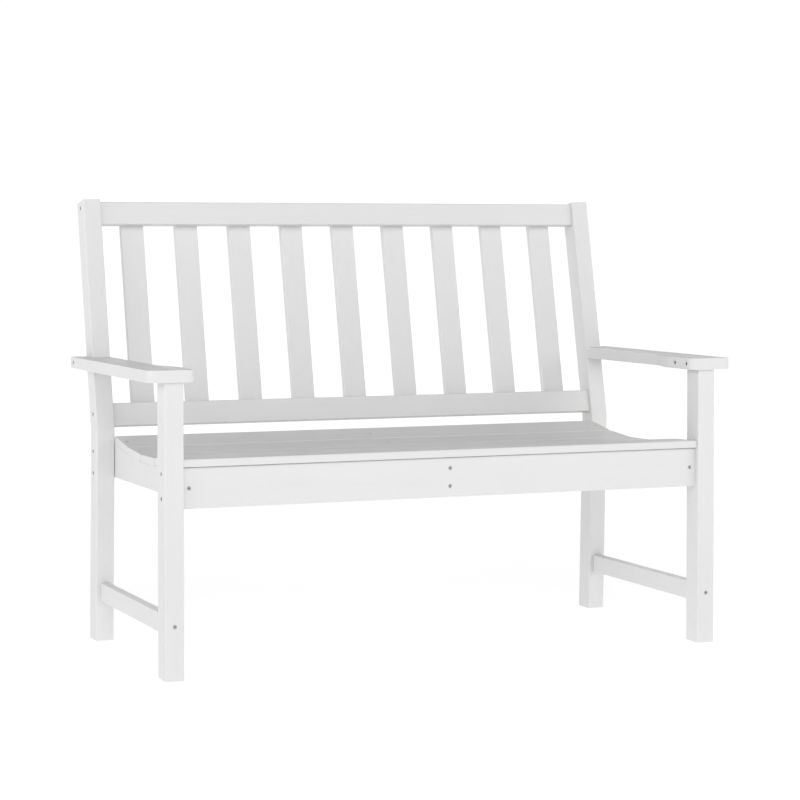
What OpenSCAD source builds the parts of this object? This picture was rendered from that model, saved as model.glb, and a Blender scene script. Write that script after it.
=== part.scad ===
// Two-seat garden bench in white plastic lumber.
// Every board is its own sub-part; nothing moves, everything is screwed together.
// Millimetres, +Z up, front of the bench towards -Y, origin under the middle of the bench on the floor.

/* [Overall] */
// Gap between the inner faces of the left and right legs
clear_w = 1080; // [900:20:1400]
// Height of the armrest top above the floor
arm_top = 576; // [560:2:600]
// Length of the raked upper part of each rear leg
back_len = 478.4; // [440:2:520]
// Backward lean of the backrest, degrees
rake = 12.36; // [8:0.5:16]
// Backward splay of the rear legs below the bend, degrees
splay = 1.95; // [0:0.25:4]

/* [Stock sizes] */
// Leg width, seen from the front
leg_w = 37; // [34:1:44]
// Leg depth, seen from the side
leg_d = 48.5; // [44:0.5:56]
// Thickness of rails, aprons and armrests
rail_t = 23; // [20:0.5:25]
// Thickness of the seat and back slats
slat_t = 15; // [12:0.5:18]
// Radius along the long edges of the boards
edge_r = 2.5; // [1:0.5:4]

/* [Seat] */
// Width of one seat slat
seat_slat_w = 92.5; // [80:0.5:93]
// Height of the seat support under the front edge of the seat
seat_front = 395.2; // [380:1:420]
// Height of the front apron board
apron_h = 77; // [60:1:90]
// How far the front apron sits behind the front of the legs
apron_setback = 12.3; // [6:0.5:18]
// Thickness of the two side rails and the centre support
bearer_t = 25; // [20:1:30]

/* [Back] */
// Number of upright back slats
back_slats = 9; // [5:2:9]
// Centre distance of the back slats
back_pitch = 116.8; // [100:0.2:120]
// Width of one back slat
back_slat_w = 48.6; // [40:0.2:60]
// Height of the two back rails, measured along the lean
back_rail_h = 47; // [40:0.2:54]

/* [Armrests] */
// How far an armrest stands out beyond the outer face of the legs
arm_out = 34; // [24:1:44]
// How far an armrest widens inwards at the front
arm_in = 21; // [20:1:21]
// Corner radius at the front of the armrests
arm_corner = 16; // [8:1:20]

/* [Stretchers] */
// Height of the side stretchers
stretcher_h = 38; // [30:0.5:44]
// Thickness of the side stretchers
stretcher_t = 19; // [14:0.5:24]
// Underside of the side stretchers above the floor
stretcher_z = 81.2; // [60:0.2:140]

/* [Screws] */
// Head diameter of the countersunk screws
head_d = 8; // [7:0.2:10]
// Shank diameter of the screws
shank_d = 4.4; // [3.6:0.2:5]

/* [Hidden] */
$fn = 48;
inner_x = clear_w / 2;
outer_x = inner_x + leg_w;
leg_mid_x = inner_x + leg_w / 2;
arm_x = outer_x + arm_out;

// rear leg: the bend, then the frame of the leaning part above it
bend_y = 469.65;
bend_z = 430;
foot_y = bend_y + bend_z * tan(splay);
mitre = (rake - splay) / 2;

// overall depth, used to put the origin in the middle
arm_front = -8;
depth_back = bend_y + back_len * sin(rake) + leg_d * cos(rake);
mid_y = (arm_front + depth_back) / 2;

// seat support line: front to back, five straight facets
seat_slats = 5;
seat_y0 = 3;
seat_pitch = 94.8;
seat_drop = [0, -3.7, -13.9, -14.9, -7.6, 7.4];
seat_end_x = inner_x - 0.6;
apron_y = apron_setback + rail_t;
apron_top = seat_front - 1.3;
rear_apron_y = 490;
rail_z = 332.6;
bearer_x = seat_end_x - bearer_t / 2;
rear_apron_top = seat_front + 7.4;

// back, measured in the leaning frame
rail_v = 7.8;
slat_v = rail_v + rail_t;
top_rail_u = back_len - 3.5 - back_rail_h;
low_rail_u = 9;
slat_lap = 3;

// armrests
arm_z = arm_top - rail_t;
arm_back = bend_y + (arm_z + rail_t / 2 - bend_z) * tan(rake) + leg_d / cos(rake) - 0.5;
arm_leg_seat = 18;
swell_y0 = 80;
swell_y1 = 185;
swell_r = ((swell_y1 - swell_y0) * (swell_y1 - swell_y0) + arm_in * arm_in) / (4 * arm_in);
swell_mid = (swell_y0 + swell_y1) / 2;
lug_r = 4;

// screws
head_h = 3.6;
sink = 1;
play = 0.1;
head_play = 0.4;
head_rim = 0.2;
slot_w = 1.3;
slot_l = 5;
slot_deep = 2.2;
tip_h = 6;
apron_leg_z = [336.8, 382.8];
rear_leg_z = [341, 385.3];
centre_z = [338.7, 373.6];
side_screw_z = 355.5;
arm_screw_y = [13, 60];
arm_screw_z = arm_top - 11;
stretcher_screw_z = stretcher_z + stretcher_h / 2 + 1.3;
low_screw_u = 36;
top_screw_u = top_rail_u + back_rail_h - 10.4;
rail_screw_v = 24;

// screw lengths
leg_screw = 78;
rail_screw = 72;
bearer_screw = 60;
seat_screw = 30;
slat_screw = 32;
arm_front_screw = 46;
lug_screw = 60;
stretcher_screw = 82;

white = [0.93, 0.93, 0.92];
steel = [0.62, 0.62, 0.62];

function seat_node_y(i) = seat_y0 + i * seat_pitch;
function seat_node_z(i) = seat_front + seat_drop[i];
function seat_tilt(i) = atan2(seat_node_z(i + 1) - seat_node_z(i), seat_pitch);
function seat_line(i, y) = seat_node_z(i) + (y - seat_node_y(i)) * tan(seat_tilt(i));

// ---- shared building blocks ----

// rectangle with rounded corners, centred
module round_rect(w, d, r) {
    square([w - 2 * r, d], center = true);
    square([w, d - 2 * r], center = true);
    for (sx = [-1, 1])
        for (sy = [-1, 1])
            translate([sx * (w / 2 - r), sy * (d / 2 - r)])
                circle(r);
}

// board running along X, centred: d along Y, h along Z
module board_x(len, d, h) {
    rotate([90, 0, 90])
        linear_extrude(height = len, center = true)
            round_rect(d, h, edge_r);
}

// moves a piece from the drawing position to the library origin
module place() {
    translate([0, -mid_y, 0])
        children();
}

// frame of the leaning back: x across, y through the boards, z up the lean
module lean_frame() {
    translate([0, bend_y, bend_z])
        rotate([-rake, 0, 0])
            children();
}

// frame of the splayed lower rear leg, z = 0 at the bend
module splay_frame() {
    translate([0, bend_y, bend_z])
        rotate([splay, 0, 0])
            children();
}

// countersunk screw: head on z = 0, shank down -Z
module screw(len) {
    translate([0, 0, -sink])
        difference() {
            union() {
                translate([0, 0, -head_h])
                    cylinder(h = head_h, r1 = shank_d / 2, r2 = head_d / 2);
                translate([0, 0, tip_h - len])
                    cylinder(h = len - tip_h - head_h, r = shank_d / 2);
                translate([0, 0, -len])
                    cylinder(h = tip_h, r1 = 0.4, r2 = shank_d / 2);
            }
            for (a = [0, 90])
                rotate([0, 0, a])
                    translate([-slot_l / 2, -slot_w / 2, -slot_deep])
                        cube([slot_l, slot_w, slot_deep + 1]);
        }
}

// the hole a screw of this length sits in
module screw_hole(len) {
    translate([0, 0, -sink - head_h])
        cylinder(h = head_h, r1 = shank_d / 2 + play, r2 = head_d / 2 + head_play);
    translate([0, 0, -sink - head_rim])
        cylinder(h = 2, r = head_d / 2 + head_play);
    translate([0, 0, -sink - len - play])
        cylinder(h = len, r = shank_d / 2 + play);
}

// ---- screw positions; side -1 is left, 1 is right ----

module at_front_leg(side) {
    for (z = apron_leg_z)
        translate([side * outer_x, apron_setback + rail_t / 2, z])
            rotate([0, side * 90, 0])
                children();
}

module at_rear_leg(side) {
    for (z = rear_leg_z)
        translate([side * outer_x, rear_apron_y + rail_t / 2, z])
            rotate([0, side * 90, 0])
                children();
}

module at_back_rail(side, u) {
    lean_frame()
        translate([side * outer_x, rail_screw_v, u])
            rotate([0, side * 90, 0])
                children();
}

module at_front_side_rail(side) {
    translate([side * bearer_x, apron_setback, side_screw_z])
        rotate([90, 0, 0])
            children();
}

module at_front_centre() {
    for (z = centre_z)
        translate([0, apron_setback, z])
            rotate([90, 0, 0])
                children();
}

module at_rear_side_rail(side) {
    translate([side * bearer_x, rear_apron_y + rail_t, side_screw_z])
        rotate([-90, 0, 0])
            children();
}

module at_rear_centre() {
    for (z = centre_z)
        translate([0, rear_apron_y + rail_t, z + 5])
            rotate([-90, 0, 0])
                children();
}

module at_seat_slat(i) {
    for (x = [-bearer_x, 0, bearer_x])
        translate([x, 0, 0])
            seat_frame(i)
                translate([0, 0, slat_t])
                    children();
}

module at_back_slat(k, u) {
    lean_frame()
        translate([(k - (back_slats + 1) / 2) * back_pitch, slat_v + slat_t, u + back_rail_h / 2])
            rotate([-90, 0, 0])
                children();
}

module at_arm_front(side) {
    for (y = arm_screw_y)
        translate([side * (inner_x - arm_in), y, arm_screw_z])
            rotate([0, -side * 90, 0])
                children();
}

module at_arm_rear(side) {
    translate([side * arm_x, arm_back - 22.5, arm_screw_z])
        rotate([0, side * 90, 0])
            children();
}

module at_stretcher_front(side) {
    translate([side * leg_mid_x, 0, stretcher_screw_z])
        rotate([90, 0, 0])
            children();
}

module at_stretcher_rear(side) {
    splay_frame()
        translate([side * leg_mid_x, leg_d, stretcher_screw_z - bend_z])
            rotate([-90, 0, 0])
                children();
}

// frame of seat slat i: z = 0 on its underside, y = 0 at the middle of its width
module seat_frame(i) {
    translate([0, (seat_node_y(i) + seat_node_y(i + 1)) / 2, (seat_node_z(i) + seat_node_z(i + 1)) / 2])
        rotate([seat_tilt(i), 0, 0])
            children();
}

// ---- legs ----

module front_leg(side) {
    color(white)
        place()
            difference() {
                translate([side * leg_mid_x, leg_d / 2, 0])
                    linear_extrude(height = arm_z + arm_leg_seat)
                        round_rect(leg_w, leg_d, edge_r);
                at_front_leg(side)
                    screw_hole(leg_screw);
                at_stretcher_front(side)
                    screw_hole(stretcher_screw);
                at_arm_front(side)
                    screw_hole(arm_front_screw);
            }
}

module leg_stick(side, len) {
    translate([side * leg_mid_x, leg_d / 2, 0])
        linear_extrude(height = len)
            round_rect(leg_w, leg_d, edge_r);
}

// half space above the mitre through the bend, or below it
module mitre_half(up) {
    translate([0, bend_y, bend_z])
        rotate([-mitre, 0, 0])
            translate([-outer_x - 50, -400, up ? 0 : -600])
                cube([2 * outer_x + 100, 900, 600]);
}

module rear_leg(side) {
    color(white)
        place()
            difference() {
                union() {
                    intersection() {
                        lean_frame()
                            translate([0, 0, -30])
                                leg_stick(side, back_len + 30);
                        mitre_half(true);
                    }
                    intersection() {
                        splay_frame()
                            translate([0, 0, -460])
                                leg_stick(side, 500);
                        mitre_half(false);
                        translate([-outer_x - 50, 0, 0])
                            cube([2 * outer_x + 100, 900, 600]);
                    }
                }
                at_rear_leg(side)
                    screw_hole(leg_screw);
                at_back_rail(side, low_screw_u)
                    screw_hole(rail_screw);
                at_back_rail(side, top_screw_u)
                    screw_hole(rail_screw);
                at_arm_rear(side)
                    screw_hole(lug_screw);
                at_stretcher_rear(side)
                    screw_hole(stretcher_screw);
            }
}

// ---- armrests ----

// plan of the right armrest
module arm_plan() {
    front_x = inner_x - arm_in;
    difference() {
        union() {
            translate([front_x, arm_front + arm_corner])
                square([arm_x - front_x, arm_back - lug_r - arm_front - arm_corner]);
            translate([front_x + arm_corner, arm_front])
                square([arm_x - front_x - 2 * arm_corner, 2 * arm_corner]);
            for (x = [front_x + arm_corner, arm_x - arm_corner])
                translate([x, arm_front + arm_corner])
                    circle(arm_corner);
            translate([front_x, arm_back - 2 * lug_r])
                square([arm_x - lug_r - front_x, 2 * lug_r]);
            translate([arm_x - lug_r, arm_back - lug_r])
                circle(lug_r);
        }
        // straight inner edge behind the swell
        translate([front_x - 10, swell_y1])
            square([arm_in + 10, arm_back]);
        // hollow half of the swell
        intersection() {
            translate([inner_x - swell_r, swell_y1])
                circle(swell_r, $fn = 180);
            translate([front_x - 10, swell_mid])
                square([arm_in + 10, swell_y1 - swell_mid]);
        }
        // full half of the swell
        difference() {
            translate([front_x - 10, swell_y0])
                square([arm_in / 2 + 10, swell_mid - swell_y0]);
            translate([front_x + swell_r, swell_y0])
                circle(swell_r, $fn = 180);
        }
    }
}

module armrest(side) {
    color(white)
        place()
            difference() {
                mirror([side < 0 ? 1 : 0, 0, 0])
                    translate([0, 0, arm_z])
                        linear_extrude(height = rail_t)
                            arm_plan();
                // notch round the rear leg
                lean_frame()
                    translate([side * (inner_x - 15 + outer_x) / 2, 100, 150])
                        cube([leg_w + 15, 200, 200], center = true);
                // seat for the head of the front leg
                translate([side * leg_mid_x, leg_d / 2, arm_z - 1])
                    linear_extrude(height = arm_leg_seat + 1)
                        round_rect(leg_w, leg_d, edge_r);
                at_arm_front(side)
                    screw_hole(arm_front_screw);
                at_arm_rear(side)
                    screw_hole(lug_screw);
            }
}

// ---- seat frame ----

module front_apron() {
    color(white)
        place()
            difference() {
                translate([0, apron_setback + rail_t / 2, apron_top - apron_h / 2])
                    board_x(clear_w, rail_t, apron_h);
                for (side = [-1, 1]) {
                    at_front_leg(side)
                        screw_hole(leg_screw);
                    at_front_side_rail(side)
                        screw_hole(bearer_screw);
                }
                at_front_centre()
                    screw_hole(bearer_screw);
            }
}

module rear_apron() {
    color(white)
        place()
            difference() {
                translate([0, rear_apron_y + rail_t / 2, (rail_z + rear_apron_top) / 2])
                    board_x(clear_w, rail_t, rear_apron_top - rail_z);
                for (side = [-1, 1]) {
                    at_rear_leg(side)
                        screw_hole(leg_screw);
                    at_rear_side_rail(side)
                        screw_hole(bearer_screw);
                }
                at_rear_centre()
                    screw_hole(bearer_screw);
            }
}

// side view of a seat bearer: flat below, five facets above
module bearer_profile(bottom) {
    polygon([
        [apron_y, bottom],
        [apron_y, seat_line(0, apron_y)],
        for (i = [1:seat_slats - 1]) [seat_node_y(i), seat_node_z(i)],
        [seat_node_y(seat_slats), seat_node_z(seat_slats)],
        [rear_apron_y, seat_node_z(seat_slats)],
        [rear_apron_y, bottom]
    ]);
}

module bearer(x, bottom) {
    translate([x, 0, 0])
        rotate([90, 0, 90])
            linear_extrude(height = bearer_t, center = true)
                bearer_profile(bottom);
}

module side_rail(side) {
    color(white)
        place()
            difference() {
                bearer(side * bearer_x, rail_z);
                at_front_side_rail(side)
                    screw_hole(bearer_screw);
                at_rear_side_rail(side)
                    screw_hole(bearer_screw);
                for (i = [0:seat_slats - 1])
                    at_seat_slat(i)
                        screw_hole(seat_screw);
            }
}

module center_support() {
    color(white)
        place()
            difference() {
                bearer(0, apron_top - apron_h);
                at_front_centre()
                    screw_hole(bearer_screw);
                at_rear_centre()
                    screw_hole(bearer_screw);
                for (i = [0:seat_slats - 1])
                    at_seat_slat(i)
                        screw_hole(seat_screw);
            }
}

module seat_slat(i) {
    color(white)
        place()
            difference() {
                seat_frame(i)
                    translate([0, 0, slat_t / 2])
                        board_x(2 * seat_end_x, seat_slat_w, slat_t);
                at_seat_slat(i)
                    screw_hole(seat_screw);
            }
}

// ---- stretchers ----

module stretcher(side) {
    color(white)
        place()
            difference() {
                translate([side * leg_mid_x, leg_d, stretcher_z + stretcher_h / 2])
                    rotate([-90, 0, 0])
                        linear_extrude(height = foot_y - leg_d)
                            round_rect(stretcher_t, stretcher_h, edge_r);
                splay_frame()
                    translate([side * leg_mid_x - leg_w, 0, -bend_z - 100])
                        cube([2 * leg_w, 100, bend_z]);
                at_stretcher_front(side)
                    screw_hole(stretcher_screw);
                at_stretcher_rear(side)
                    screw_hole(stretcher_screw);
            }
}

// ---- back ----

module back_rail(u, screw_u) {
    color(white)
        place()
            difference() {
                lean_frame()
                    translate([0, rail_v + rail_t / 2, u + back_rail_h / 2])
                        board_x(clear_w, rail_t, back_rail_h);
                for (side = [-1, 1])
                    at_back_rail(side, screw_u)
                        screw_hole(rail_screw);
                for (k = [1:back_slats])
                    at_back_slat(k, u)
                        screw_hole(slat_screw);
            }
}

module back_slat(k) {
    color(white)
        place()
            difference() {
                lean_frame()
                    translate([(k - (back_slats + 1) / 2) * back_pitch, slat_v + slat_t / 2, low_rail_u + slat_lap])
                        linear_extrude(height = top_rail_u + back_rail_h - low_rail_u - 2 * slat_lap)
                            round_rect(back_slat_w, slat_t, edge_r);
                for (u = [low_rail_u, top_rail_u])
                    at_back_slat(k, u)
                        screw_hole(slat_screw);
            }
}

// ---- screws ----

module front_leg_screws() {
    color(steel)
        place()
            for (side = [-1, 1])
                at_front_leg(side)
                    screw(leg_screw);
}

module rear_leg_screws() {
    color(steel)
        place()
            for (side = [-1, 1])
                at_rear_leg(side)
                    screw(leg_screw);
}

module back_rail_screws() {
    color(steel)
        place()
            for (side = [-1, 1], u = [low_screw_u, top_screw_u])
                at_back_rail(side, u)
                    screw(rail_screw);
}

module front_apron_screws() {
    color(steel)
        place() {
            for (side = [-1, 1])
                at_front_side_rail(side)
                    screw(bearer_screw);
            at_front_centre()
                screw(bearer_screw);
        }
}

module rear_apron_screws() {
    color(steel)
        place() {
            for (side = [-1, 1])
                at_rear_side_rail(side)
                    screw(bearer_screw);
            at_rear_centre()
                screw(bearer_screw);
        }
}

module seat_slat_screws() {
    color(steel)
        place()
            for (i = [0:seat_slats - 1])
                at_seat_slat(i)
                    screw(seat_screw);
}

module back_slat_screws() {
    color(steel)
        place()
            for (k = [1:back_slats], u = [low_rail_u, top_rail_u])
                at_back_slat(k, u)
                    screw(slat_screw);
}

module armrest_front_screws() {
    color(steel)
        place()
            for (side = [-1, 1])
                at_arm_front(side)
                    screw(arm_front_screw);
}

module armrest_rear_screws() {
    color(steel)
        place()
            for (side = [-1, 1])
                at_arm_rear(side)
                    screw(lug_screw);
}

module stretcher_screws() {
    color(steel)
        place()
            for (side = [-1, 1]) {
                at_stretcher_front(side)
                    screw(stretcher_screw);
                at_stretcher_rear(side)
                    screw(stretcher_screw);
            }
}

// ---- drawing ----

front_leg(-1);  // front_leg_left
front_leg(1);  // front_leg_right
rear_leg(-1);  // rear_leg_left
rear_leg(1);  // rear_leg_right
armrest(-1);  // armrest_left
armrest(1);  // armrest_right
front_apron();
rear_apron();
side_rail(-1);  // side_rail_left
side_rail(1);  // side_rail_right
center_support();
seat_slat(0);  // seat_slat_1
seat_slat(1);  // seat_slat_2
seat_slat(2);  // seat_slat_3
seat_slat(3);  // seat_slat_4
seat_slat(4);  // seat_slat_5
stretcher(-1);  // stretcher_left
stretcher(1);  // stretcher_right
back_rail(top_rail_u, top_screw_u);  // back_top_rail
back_rail(low_rail_u, low_screw_u);  // back_bottom_rail
back_slat(1);  // back_slat_1
back_slat(2);  // back_slat_2
back_slat(3);  // back_slat_3
back_slat(4);  // back_slat_4
back_slat(5);  // back_slat_5
back_slat(6);  // back_slat_6
back_slat(7);  // back_slat_7
back_slat(8);  // back_slat_8
back_slat(9);  // back_slat_9
front_leg_screws();
rear_leg_screws();
back_rail_screws();
front_apron_screws();
rear_apron_screws();
seat_slat_screws();
back_slat_screws();
armrest_front_screws();
armrest_rear_screws();
stretcher_screws();
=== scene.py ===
"""Looks of the white garden bench: eased boards, plastic lumber and steel, light and camera."""
import math

import bmesh
import bpy
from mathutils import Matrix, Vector


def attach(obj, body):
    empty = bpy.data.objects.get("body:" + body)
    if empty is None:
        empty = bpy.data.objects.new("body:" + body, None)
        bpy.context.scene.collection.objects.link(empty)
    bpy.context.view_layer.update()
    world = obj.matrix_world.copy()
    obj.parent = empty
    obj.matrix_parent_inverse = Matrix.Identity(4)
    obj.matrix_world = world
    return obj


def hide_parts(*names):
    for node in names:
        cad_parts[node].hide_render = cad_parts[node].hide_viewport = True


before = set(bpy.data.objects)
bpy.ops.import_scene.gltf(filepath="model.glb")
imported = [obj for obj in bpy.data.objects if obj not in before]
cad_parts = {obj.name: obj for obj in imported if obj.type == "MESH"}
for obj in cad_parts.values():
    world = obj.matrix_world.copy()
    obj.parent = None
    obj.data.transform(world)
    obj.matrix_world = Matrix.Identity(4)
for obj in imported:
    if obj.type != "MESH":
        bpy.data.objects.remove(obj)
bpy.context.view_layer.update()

# lean of the back, and height of the bend in the rear legs
RAKE = math.radians(12.36)
BEND_Z = 0.430

# boards, by the direction of their grain
ALONG_X = ("front_apron", "rear_apron", "back_top_rail", "back_bottom_rail", "seat_slat_1",
           "seat_slat_2", "seat_slat_3", "seat_slat_4", "seat_slat_5")
ALONG_Y = ("side_rail_left", "side_rail_right", "center_support",
           "stretcher_left", "stretcher_right")
ARMRESTS = ("armrest_left", "armrest_right")
FRONT_LEGS = ("front_leg_left", "front_leg_right")
REAR_LEGS = ("rear_leg_left", "rear_leg_right")
BACK_SLATS = tuple(f"back_slat_{k}" for k in range(1, 10))

# rounding of the sawn edges
END_EASE = 0.0009
BEARER_EASE = 0.0015
ARM_EASE = 0.0022
EASE_SEGMENTS = 3
TOUCHING = 1e-6
# a ring of sharp edges smaller than this is the rim of a screw hole
OUTLINE_MIN = 0.013
# angles between faces: on one flat face, on one curved face, and across a sawn edge
FLAT = math.radians(0.2)
CURVED = math.radians(11)
SAWN = math.radians(30)

# plastic lumber: noise scales per metre, drawn out along the board or not
GRAIN_STRETCH = 26
BROAD, FINE, HAIR = 42.0, 260.0, 900.0
CLOUD, SCUFF, PORE = 5.5, 60.0, 1500.0
# eased edges: their mask, the painted highlight with wear that lightens them, and their polish
EDGE_WEAR_AND_HIGHLIGHT_RADIUS = 0.0028
EDGE_WEAR_AND_HIGHLIGHT_TONE = 0.20
WEAR_POLISH = 0.10
LUMBER_TONES = ((0.40, (0.638, 0.642, 0.635, 1)),
                (0.60, (0.778, 0.781, 0.778, 1)),
                (0.72, (0.86, 0.86, 0.855, 1)))
# relief, metres
BROAD_RELIEF = 0.00020
FINE_RELIEF = 0.00005
HAIR_RELIEF = 0.00003
PORE_RELIEF = 0.000012
RELIEF_STRENGTH = 0.7

# steel, with painted shade from the bottom of the recess up to the open head
STEEL_TONES = ((0.0, (0.02, 0.02, 0.022, 1)),
               (1.0, (0.55, 0.55, 0.56, 1)))
PAINTED_SHADE_REACH = 0.0016
SPECK, SMEAR = 900.0, 140.0
SPECK_RELIEF = 0.00003

# studio: light of the surroundings by the height of its direction
SKY_TONES = ((0.12, (0.76, 0.76, 0.76, 1)),
             (0.22, (1, 1, 1, 1)),
             (0.36, (1, 1, 1, 1)),
             (0.50, (0.225, 0.225, 0.225, 1)))
SKY_STRENGTH = 1.36
FLOOR_SIZE = 80
# glow of the floor near the bench and farther off, with the two distances
FLOOR_GLOW = (0.69, 0.80)
GLOW_REACH = (1.0, 4.5)
# softbox: azimuth from the front, height (degrees) and power (watts)
SOFTBOXES = (("softbox_key", -20, 32, 64),
             ("softbox_left", -80, 20, 46),
             ("softbox_right", 50, 20, 40))
SOFTBOX_SIZE = 3.0
SOFTBOX_DISTANCE = 6.0
AIM = Vector((0, 0, 0.45))

# camera: its place, its tilt below the horizon and its turn about Z
CAMERA_PLACE = (-1.8432, -4.5059, 0.8228)
CAMERA_TILT = math.radians(2.030)
CAMERA_TURN = -0.39138


# ---- shader helpers ----

class Nodes:
    """Short way to build a node tree."""

    def __init__(self, tree):
        self.tree = tree
        tree.nodes.clear()

    def add(self, kind, **settings):
        node = self.tree.nodes.new(kind)
        for name, value in settings.items():
            setattr(node, name, value)
        return node

    def link(self, out, into):
        self.tree.links.new(out, into)

    def math(self, operation, a, b=None, clamp=False):
        node = self.add("ShaderNodeMath", operation=operation, use_clamp=clamp)
        for socket, value in zip(node.inputs, (a, b)):
            if value is None:
                continue
            if isinstance(value, (int, float)):
                socket.default_value = value
            else:
                self.link(value, socket)
        return node.outputs[0]

    def noise(self, vector, scale, detail=3.0, roughness=0.5):
        node = self.add("ShaderNodeTexNoise")
        node.inputs["Scale"].default_value = scale
        node.inputs["Detail"].default_value = detail
        node.inputs["Roughness"].default_value = roughness
        self.link(vector, node.inputs["Vector"])
        return node.outputs["Fac"]

    def remap(self, value, a, b, c, d):
        node = self.add("ShaderNodeMapRange", clamp=True)
        self.link(value, node.inputs["Value"])
        for name, v in zip(("From Min", "From Max", "To Min", "To Max"), (a, b, c, d)):
            node.inputs[name].default_value = v
        return node.outputs["Result"]

    def spread(self, noise, low, high):
        """The middle of a noise's range, stretched to run from low to high."""
        return self.remap(noise, 0.3, 0.7, low, high)

    def ramp(self, value, stops):
        """Color by value, from (position, color) stops in rising order."""
        node = self.add("ShaderNodeValToRGB")
        elements = node.color_ramp.elements
        for element, (position, color) in zip(elements, (stops[0], stops[-1])):
            element.position = position
            element.color = color
        for position, color in stops[1:-1]:
            elements.new(position).color = color
        self.link(value, node.inputs["Fac"])
        return node.outputs["Color"]

    def bump(self, height, strength, distance):
        node = self.add("ShaderNodeBump")
        node.inputs["Strength"].default_value = strength
        node.inputs["Distance"].default_value = distance
        self.link(height, node.inputs["Height"])
        return node.outputs[0]


def shaded(name):
    """A new material with one Principled shader: the material, its nodes and the shader."""
    material = bpy.data.materials.new(name)
    material.use_nodes = True
    n = Nodes(material.node_tree)
    out = n.add("ShaderNodeOutputMaterial")
    surface = n.add("ShaderNodeBsdfPrincipled")
    n.link(surface.outputs[0], out.inputs["Surface"])
    return material, n, surface


def lumber(name, turn):
    """White plastic lumber; turn brings the board's length onto X."""
    material, n, surface = shaded(name)
    surface.inputs["IOR"].default_value = 1.5
    surface.inputs["Specular IOR Level"].default_value = 0.3

    place = n.add("ShaderNodeTexCoord")
    seed = n.add("ShaderNodeAttribute", attribute_type="OBJECT", attribute_name="board_seed")
    turned = n.add("ShaderNodeMapping", vector_type="POINT")
    turned.inputs["Rotation"].default_value = turn
    n.link(place.outputs["Object"], turned.inputs["Vector"])
    shifted = n.add("ShaderNodeVectorMath", operation="ADD")
    n.link(turned.outputs[0], shifted.inputs[0])
    n.link(seed.outputs["Vector"], shifted.inputs[1])
    drawn = n.add("ShaderNodeVectorMath", operation="MULTIPLY")
    n.link(shifted.outputs[0], drawn.inputs[0])
    drawn.inputs[1].default_value = (1 / GRAIN_STRETCH, 1.0, 1.0)
    along = drawn.outputs[0]

    broad = n.noise(along, BROAD, 3.0, 0.55)
    fine = n.noise(along, FINE, 4.0, 0.6)
    hair = n.noise(along, HAIR, 2.0, 0.6)
    cloud = n.noise(shifted.outputs[0], CLOUD, 3.0, 0.5)
    pores = n.noise(shifted.outputs[0], PORE, 2.0, 0.5)

    # edges painted lighter, partly wear and partly a painted highlight along the rounding: the
    # rounded normal leaves the true one there
    rounded = n.add("ShaderNodeBevel", samples=4)
    rounded.inputs["Radius"].default_value = EDGE_WEAR_AND_HIGHLIGHT_RADIUS
    geometry = n.add("ShaderNodeNewGeometry")
    dot = n.add("ShaderNodeVectorMath", operation="DOT_PRODUCT")
    n.link(rounded.outputs[0], dot.inputs[0])
    n.link(geometry.outputs["True Normal"], dot.inputs[1])
    bent = n.remap(dot.outputs["Value"], 0.999, 0.86, 0.0, 1.0)
    scuffs = n.remap(n.noise(shifted.outputs[0], SCUFF, 5.0, 0.65), 0.40, 0.62, 0.30, 1.0)
    edge_wear_and_highlight = n.math("MULTIPLY", bent, scuffs)

    # tone of the board
    tone = n.math("ADD", n.spread(broad, -0.008, 0.008), n.spread(fine, -0.007, 0.007))
    tone = n.math("ADD", tone, n.spread(cloud, -0.010, 0.010))
    tone = n.math("ADD", tone, n.spread(hair, -0.014, 0.014))
    # painted highlight on the eased edges, partly their wear: lighter there
    tone = n.math("ADD", tone, n.math("MULTIPLY", edge_wear_and_highlight, EDGE_WEAR_AND_HIGHLIGHT_TONE))
    tone = n.math("ADD", tone, 0.5)
    n.link(n.ramp(tone, LUMBER_TONES), surface.inputs["Base Color"])

    # satin finish, streaked along the board and rubbed smoother on its edges
    rough = n.math("ADD", n.spread(fine, 0.42, 0.58), n.spread(cloud, -0.04, 0.04))
    rough = n.math("ADD", rough, n.remap(broad, 0.35, 0.65, -0.14, 0.14))
    rough = n.math("SUBTRACT", rough, n.math("MULTIPLY", edge_wear_and_highlight, WEAR_POLISH), clamp=True)
    n.link(rough, surface.inputs["Roughness"])

    # drawn grain, broad waves first
    height = n.math("MULTIPLY", broad, BROAD_RELIEF)
    height = n.math("ADD", height, n.math("MULTIPLY", fine, FINE_RELIEF))
    height = n.math("ADD", height, n.math("MULTIPLY", hair, HAIR_RELIEF))
    height = n.math("ADD", height, n.math("MULTIPLY", pores, PORE_RELIEF))
    n.link(n.bump(height, RELIEF_STRENGTH, 1.0), surface.inputs["Normal"])
    return material


def screw_steel():
    """Stainless screw: specks and smears on the head, and painted shade that darkens it in the
    recess.
    """
    material, n, surface = shaded("stainless_screw")
    surface.inputs["Metallic"].default_value = 1.0
    surface.inputs["Specular Tint"].default_value = (0.18, 0.18, 0.19, 1)
    place = n.add("ShaderNodeTexCoord")
    speck = n.noise(place.outputs["Object"], SPECK, 4.0, 0.6)
    smear = n.noise(place.outputs["Object"], SMEAR, 2.0, 0.5)
    # painted shade: ambient occlusion darkens the base colour in the recess
    recess_occlusion = n.add("ShaderNodeAmbientOcclusion", samples=6)
    recess_occlusion.inputs["Distance"].default_value = PAINTED_SHADE_REACH
    painted_recess_shade = n.remap(recess_occlusion.outputs["AO"], 0.20, 0.80, 0.0, 1.0)
    shade = n.math("MULTIPLY", n.spread(speck, 0.8, 1.0), painted_recess_shade)
    n.link(n.ramp(shade, STEEL_TONES), surface.inputs["Base Color"])
    n.link(n.spread(smear, 0.28, 0.46), surface.inputs["Roughness"])
    n.link(n.bump(speck, 0.5, SPECK_RELIEF), surface.inputs["Normal"])
    return material


# ---- boards ----

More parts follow.
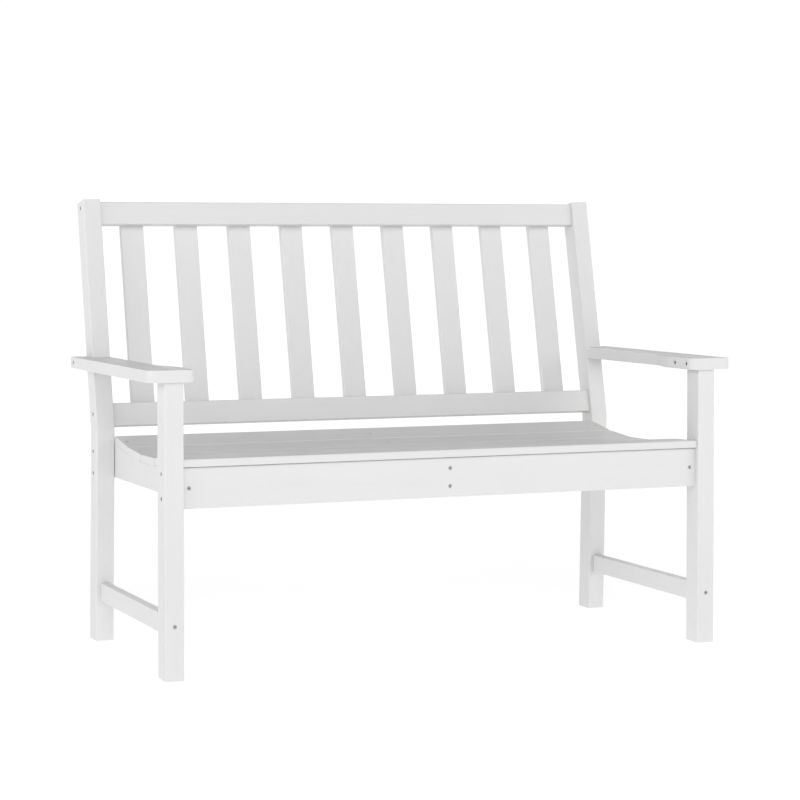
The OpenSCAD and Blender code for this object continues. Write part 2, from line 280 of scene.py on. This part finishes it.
def outlines(bm):
    """Convex sawn edges of the board's own outline, without the rims of its screw holes."""
    sharp = {e for e in bm.edges if e.calc_face_angle(0) > SAWN}
    chosen = []
    seen = set()
    for start in bm.edges:
        if start not in sharp or start in seen:
            continue
        group, todo = [], [start]
        seen.add(start)
        while todo:
            edge = todo.pop()
            group.append(edge)
            for vert in edge.verts:
                for other in vert.link_edges:
                    if other in sharp and other not in seen:
                        seen.add(other)
                        todo.append(other)
        points = [v.co for e in group for v in e.verts]
        spans = [max(p[k] for p in points) - min(p[k] for p in points) for k in range(3)]
        if Vector(spans).length > OUTLINE_MIN:
            chosen += [e for e in group if e.is_convex]
    return chosen


def board(node, finish, ease, seed, split_z=None):
    """The CAD board with eased sawn edges, as its own piece.

    finish holds one material, or those above and below split_z.
    """
    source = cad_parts[node]
    bm = bmesh.new()
    bm.from_mesh(source.data)
    bmesh.ops.remove_doubles(bm, verts=bm.verts, dist=TOUCHING)
    bmesh.ops.dissolve_limit(bm, angle_limit=FLAT, verts=bm.verts, edges=bm.edges)
    for edge in bm.edges:
        edge.smooth = edge.calc_face_angle(0) < CURVED
    chosen = outlines(bm)
    for edge in chosen:
        edge.smooth = True
    bmesh.ops.bevel(bm, geom=chosen, offset=ease, offset_type="OFFSET", segments=EASE_SEGMENTS,
                    profile=0.5, affect="EDGES", clamp_overlap=True)
    if split_z is not None:
        bmesh.ops.bisect_plane(bm, geom=bm.verts[:] + bm.edges[:] + bm.faces[:], dist=TOUCHING,
                               plane_co=(0, 0, split_z), plane_no=(0, 0, 1))
    for face in bm.faces:
        face.smooth = True
        if split_z is not None and face.calc_center_median().z < split_z:
            face.material_index = 1
    mesh = bpy.data.meshes.new(node + "_board")
    bm.to_mesh(mesh)
    bm.free()
    piece = bpy.data.objects.new(node + "_board", mesh)
    bpy.context.scene.collection.objects.link(piece)
    for material in finish:
        mesh.materials.append(material)
    # moves the grain, so that no two boards look the same
    piece["board_seed"] = (seed * 1.37 % 5, seed * 2.11 % 7, seed * 0.73 % 3)
    shading = piece.modifiers.new("flat_faces", "WEIGHTED_NORMAL")
    shading.mode = "FACE_AREA"
    shading.keep_sharp = True
    shading.weight = 100
    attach(piece, "root")
    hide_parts(node)
    return piece


along_x = lumber("lumber_along_x", (0, 0, 0))
along_y = lumber("lumber_along_y", (0, 0, math.radians(-90)))
along_z = lumber("lumber_along_z", (0, math.radians(90), 0))
leaning = lumber("lumber_leaning", (RAKE, math.radians(90), 0))

seed = 1
for group, finish, ease in (
    (ALONG_X, [along_x], END_EASE),
    (ALONG_Y, [along_y], BEARER_EASE),
    (ARMRESTS, [along_y], ARM_EASE),
    (FRONT_LEGS, [along_z], END_EASE),
    (BACK_SLATS, [leaning], END_EASE),
):
    for name in group:
        board(name, finish, ease, seed)
        seed += 1
for name in REAR_LEGS:
    board(name, [leaning, along_z], END_EASE, seed, split_z=BEND_Z)
    seed += 1

# ---- screws ----

steel = screw_steel()
for name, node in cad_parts.items():
    if name.endswith("_screws"):
        for slot in node.material_slots:
            slot.material = steel

# ---- stage ----

bpy.ops.mesh.primitive_plane_add(size=FLOOR_SIZE, location=(0, 0, 0))
floor = bpy.context.object
floor.name = "studio_floor"
floor_paint, n, surface = shaded("studio_floor_paint")
surface.inputs["Base Color"].default_value = (0.5, 0.5, 0.5, 1)
surface.inputs["Roughness"].default_value = 0.9
surface.inputs["Specular IOR Level"].default_value = 0.1
surface.inputs["Emission Color"].default_value = (1, 1, 1, 1)
# its own glow makes up for what the softboxes don't reach
spot = n.add("ShaderNodeTexCoord")
away = n.add("ShaderNodeVectorMath", operation="LENGTH")
n.link(spot.outputs["Object"], away.inputs[0])
glow = n.remap(away.outputs["Value"], *GLOW_REACH, *FLOOR_GLOW)
n.link(glow, surface.inputs["Emission Strength"])
floor.data.materials.append(floor_paint)

world = bpy.data.worlds.new("studio")
bpy.context.scene.world = world
world.use_nodes = True
n = Nodes(world.node_tree)
out = n.add("ShaderNodeOutputWorld")
back = n.add("ShaderNodeBackground")
n.link(back.outputs[0], out.inputs["Surface"])
sky = n.add("ShaderNodeTexCoord")
axes = n.add("ShaderNodeSeparateXYZ")
n.link(sky.outputs["Generated"], axes.inputs[0])
n.link(n.ramp(axes.outputs["Z"], SKY_TONES), back.inputs["Color"])
back.inputs["Strength"].default_value = SKY_STRENGTH

for name, azimuth, height, power in SOFTBOXES:
    light = bpy.data.lights.new(name, "AREA")
    light.shape = "SQUARE"
    light.size = SOFTBOX_SIZE
    light.energy = power
    box = bpy.data.objects.new(name, light)
    bpy.context.scene.collection.objects.link(box)
    a, e = math.radians(azimuth), math.radians(height)
    toward = Vector((math.sin(a) * math.cos(e), -math.cos(a) * math.cos(e), math.sin(e)))
    box.location = AIM + toward * SOFTBOX_DISTANCE
    box.rotation_euler = toward.to_track_quat("Z", "Y").to_euler()

# ---- camera ----

camera_data = bpy.data.cameras.new("camera")
camera_data.sensor_width = 36
camera_data.lens = 107.343
camera_data.shift_y = -0.10
camera = bpy.data.objects.new("camera", camera_data)
bpy.context.scene.collection.objects.link(camera)
camera.location = CAMERA_PLACE
camera.rotation_euler = (math.radians(90) - CAMERA_TILT, 0, CAMERA_TURN)
bpy.context.scene.camera = camera
bpy.context.scene.view_settings.view_transform = "Standard"
